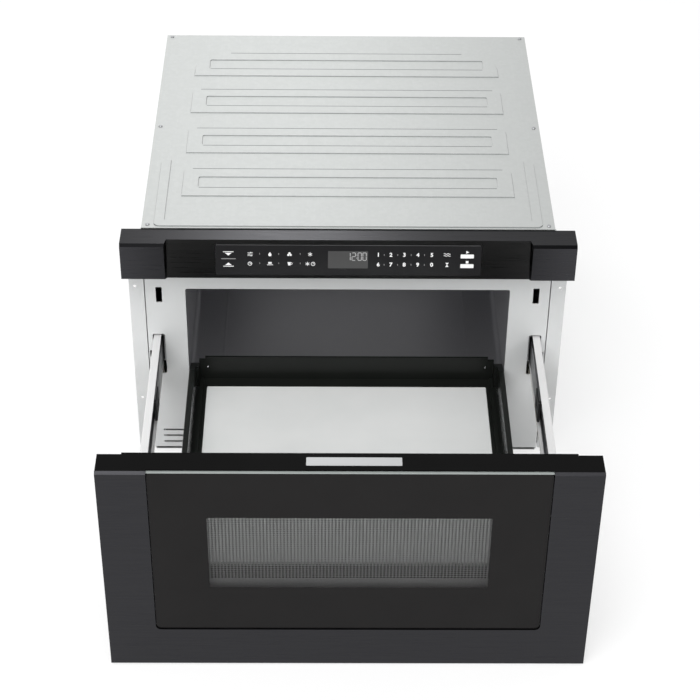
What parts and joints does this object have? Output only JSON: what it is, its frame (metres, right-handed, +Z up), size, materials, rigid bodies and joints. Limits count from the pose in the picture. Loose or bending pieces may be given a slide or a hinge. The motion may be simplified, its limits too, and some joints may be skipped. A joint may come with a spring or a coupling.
{
  "type": "microwave drawer",
  "caption": "Built-in microwave drawer with a powered pull-out drawer front and tub on telescopic slides, an oven cavity, a touch control panel and front mounting flanges.",
  "frame": {"origin": "middle of the base plate's flat underside", "axes": "+Z up, -Y towards the user, so the drawer opens along -Y and closes along +Y; +X to the user's right"},
  "size_m": [0.607, 0.953, 0.39],
  "materials": {
    "galvanised_steel": "galvanised sheet, satin",
    "plate_paint": "light grey satin enamel",
    "black_stainless": "black stainless, satin",
    "touch_glass": "black back-painted glass, gloss",
    "black_glass": "dark toughened glass, gloss",
    "gloss_black": "glossy black",
    "black_enamel": "black enamel, satin",
    "arm_white": "white powder coat",
    "zinc_steel": "zinc-plated rolled steel",
    "bright_steel": "bright steel",
    "cavity_steel": "brushed stainless",
    "black_plastic": "moulded black plastic",
    "natural_nylon": "moulded nylon",
    "mica_plastic": "pale microwave-clear plastic",
    "tray_glass": "pale glass-ceramic, gloss",
    "circuit_board": "green solder mask",
    "motor_can": "plated steel can",
    "aluminium_sheet": "mill-finish aluminium",
    "transformer_varnish": "varnished laminations",
    "screen_steel": "black perforated steel",
    "clear_glass": "clear glass"
  },
  "bodies": {
    "cabinet": {"base_plate": "galvanised_steel", "front_plate": "plate_paint", "left_side_panel": "galvanised_steel", "right_side_panel": "galvanised_steel", "back_panel": "galvanised_steel", "top_cover": "galvanised_steel", "mounting_flanges": "plate_paint", "control_panel_housing": "black_stainless", "control_glass": "touch_glass", "control_board": "circuit_board", "cavity_liner": "cavity_steel", "stirrer_cover": "mica_plastic", "stirrer_motor": "motor_can", "waveguide": "aluminium_sheet", "magnetron": "motor_can", "fan_shroud": "black_plastic", "fan_motor": "motor_can", "air_guide": "black_plastic", "exhaust_duct": "galvanised_steel", "hv_transformer": "transformer_varnish", "hv_capacitor": "aluminium_sheet", "power_board": "circuit_board", "mains_inlet": "black_plastic", "cavity_lamp": "black_plastic", "slide_brackets": "galvanised_steel", "left_slide_outer": "zinc_steel", "right_slide_outer": "zinc_steel", "shaft_bearings": "black_plastic", "drive_gearbox": "black_plastic", "drive_motor": "motor_can", "interlock_switches": "black_plastic"},
    "left_middle": {"left_slide_middle": "zinc_steel", "left_slide_stop": "black_plastic"},
    "right_middle": {"right_slide_middle": "zinc_steel", "right_slide_stop": "black_plastic"},
    "drive_shaft": {"cross_shaft": "bright_steel", "left_drive_gear": "natural_nylon", "right_drive_gear": "natural_nylon", "shaft_gear": "natural_nylon"},
    "pinion": {"motor_pinion": "bright_steel"},
    "stirrer": {"stirrer_blade": "aluminium_sheet"},
    "fan": {"fan_impeller": "black_plastic"},
    "left_switch_plunger": {"left_plunger": "natural_nylon"},
    "right_switch_plunger": {"right_plunger": "natural_nylon"},
    "drawer": {"left_slide_inner": "zinc_steel", "right_slide_inner": "zinc_steel", "left_arm": "arm_white", "right_arm": "arm_white", "left_rack": "natural_nylon", "right_rack": "natural_nylon", "door_frame": "black_stainless", "door_glass": "black_glass", "door_body": "black_enamel", "door_top_cap": "gloss_black", "perforated_screen": "screen_steel", "inner_window": "clear_glass", "latch_hooks": "black_plastic", "tub_frame": "black_enamel", "tub_side_liners": "bright_steel", "glass_tray": "tray_glass"}
  },
  "joints": [
    {"name": "drawer_slide", "type": "slide", "parent": "cabinet", "child": "drawer", "axis": [0, 1, 0], "range_m": [0, 0.385]},
    {"name": "left_middle_slide", "type": "slide", "parent": "cabinet", "child": "left_middle", "axis": [0, 1, 0], "range_m": [0, 0.1925]},
    {"name": "right_middle_slide", "type": "slide", "parent": "cabinet", "child": "right_middle", "axis": [0, 1, 0], "range_m": [0, 0.1925]},
    {"name": "cross_shaft_spin", "type": "hinge", "parent": "cabinet", "child": "drive_shaft", "pos_m": [0, -0.21, 0.0973], "axis": [1, 0, 0], "range_deg": [-480, 0]},
    {"name": "pinion_spin", "type": "hinge", "parent": "cabinet", "child": "pinion", "pos_m": [0.24, -0.21, 0.0628], "axis": [1, 0, 0], "range_deg": [0, 900]},
    {"name": "stirrer_spin", "type": "hinge", "parent": "cabinet", "child": "stirrer", "pos_m": [0, -0.058, 0.3], "axis": [0, 0, 1], "continuous": true},
    {"name": "fan_spin", "type": "hinge", "parent": "cabinet", "child": "fan", "pos_m": [0.12, 0.207, 0.24], "axis": [1, 0, 0], "continuous": true},
    {"name": "left_plunger_press", "type": "slide", "parent": "cabinet", "child": "left_switch_plunger", "axis": [0, 1, 0], "range_m": [0, 0.003], "stiffness_N_per_m": 300},
    {"name": "right_plunger_press", "type": "slide", "parent": "cabinet", "child": "right_switch_plunger", "axis": [0, 1, 0], "range_m": [0, 0.003], "stiffness_N_per_m": 300}
  ],
  "couplings": [
    {"joint": "left_middle_slide", "follows": "drawer_slide", "ratio": 0.5},
    {"joint": "right_middle_slide", "follows": "drawer_slide", "ratio": 0.5},
    {"joint": "cross_shaft_spin", "follows": "drawer_slide", "rad_per_m": -21.739},
    {"joint": "pinion_spin", "follows": "drawer_slide", "rad_per_m": 40.761}
  ]
}
